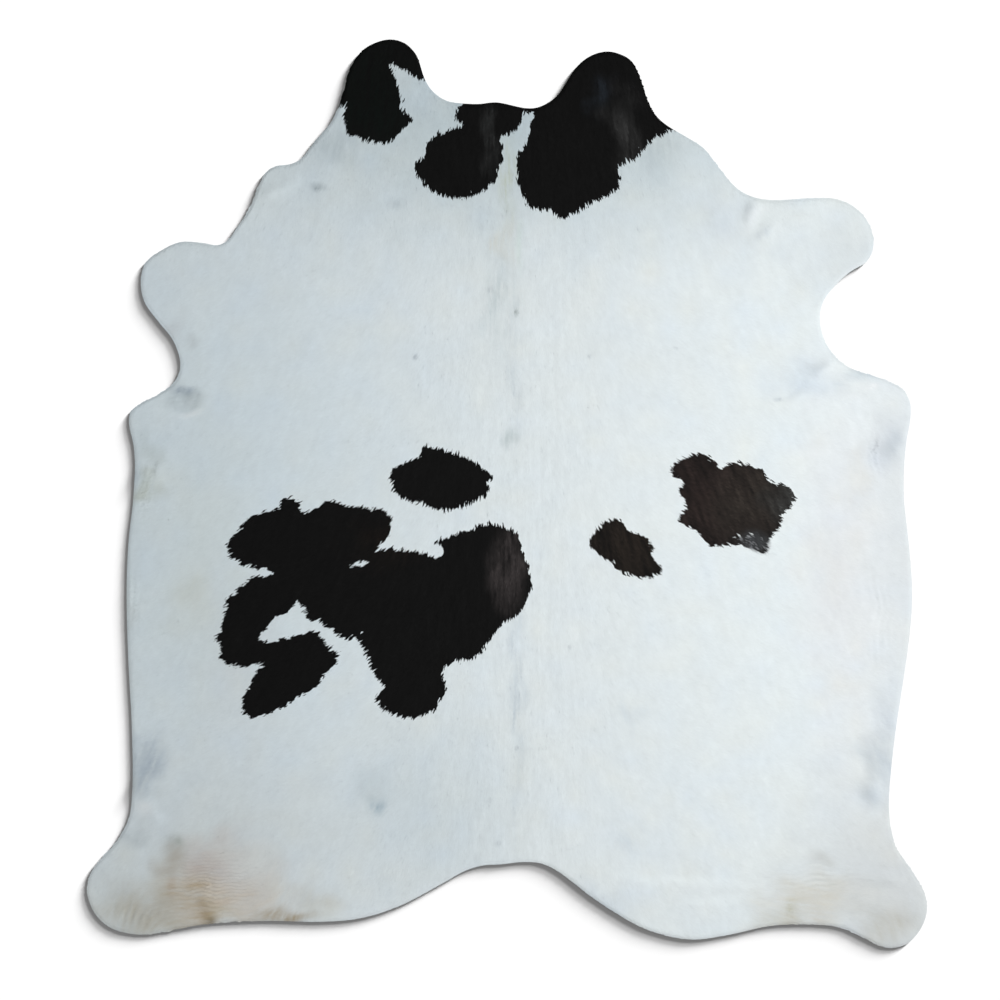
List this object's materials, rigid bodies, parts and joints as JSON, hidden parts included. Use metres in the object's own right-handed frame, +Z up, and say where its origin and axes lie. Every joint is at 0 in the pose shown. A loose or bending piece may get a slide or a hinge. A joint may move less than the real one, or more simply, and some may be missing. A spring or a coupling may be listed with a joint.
{
  "type": "cowhide rug",
  "caption": "Whole hair-on cow hide used as a flat floor rug, with trimmed ears, leg ends, flanks and rump, white with black patches.",
  "frame": {"origin": "centre of the hide's box in plan, on the floor under the flesh side", "axes": "+Y towards the head end along the backbone, +X to the right of that in plan, +Z up, out of the hair side"},
  "size_m": [2.015, 2.179, 0.0113],
  "materials": {
    "hair_on_hide": "tanned cow skin with its short coat left on, bluish white with near-black patches, and a pale suede flesh side"
  },
  "bodies": {
    "root": {"hide": "hair_on_hide"}
  },
  "joints": []
}
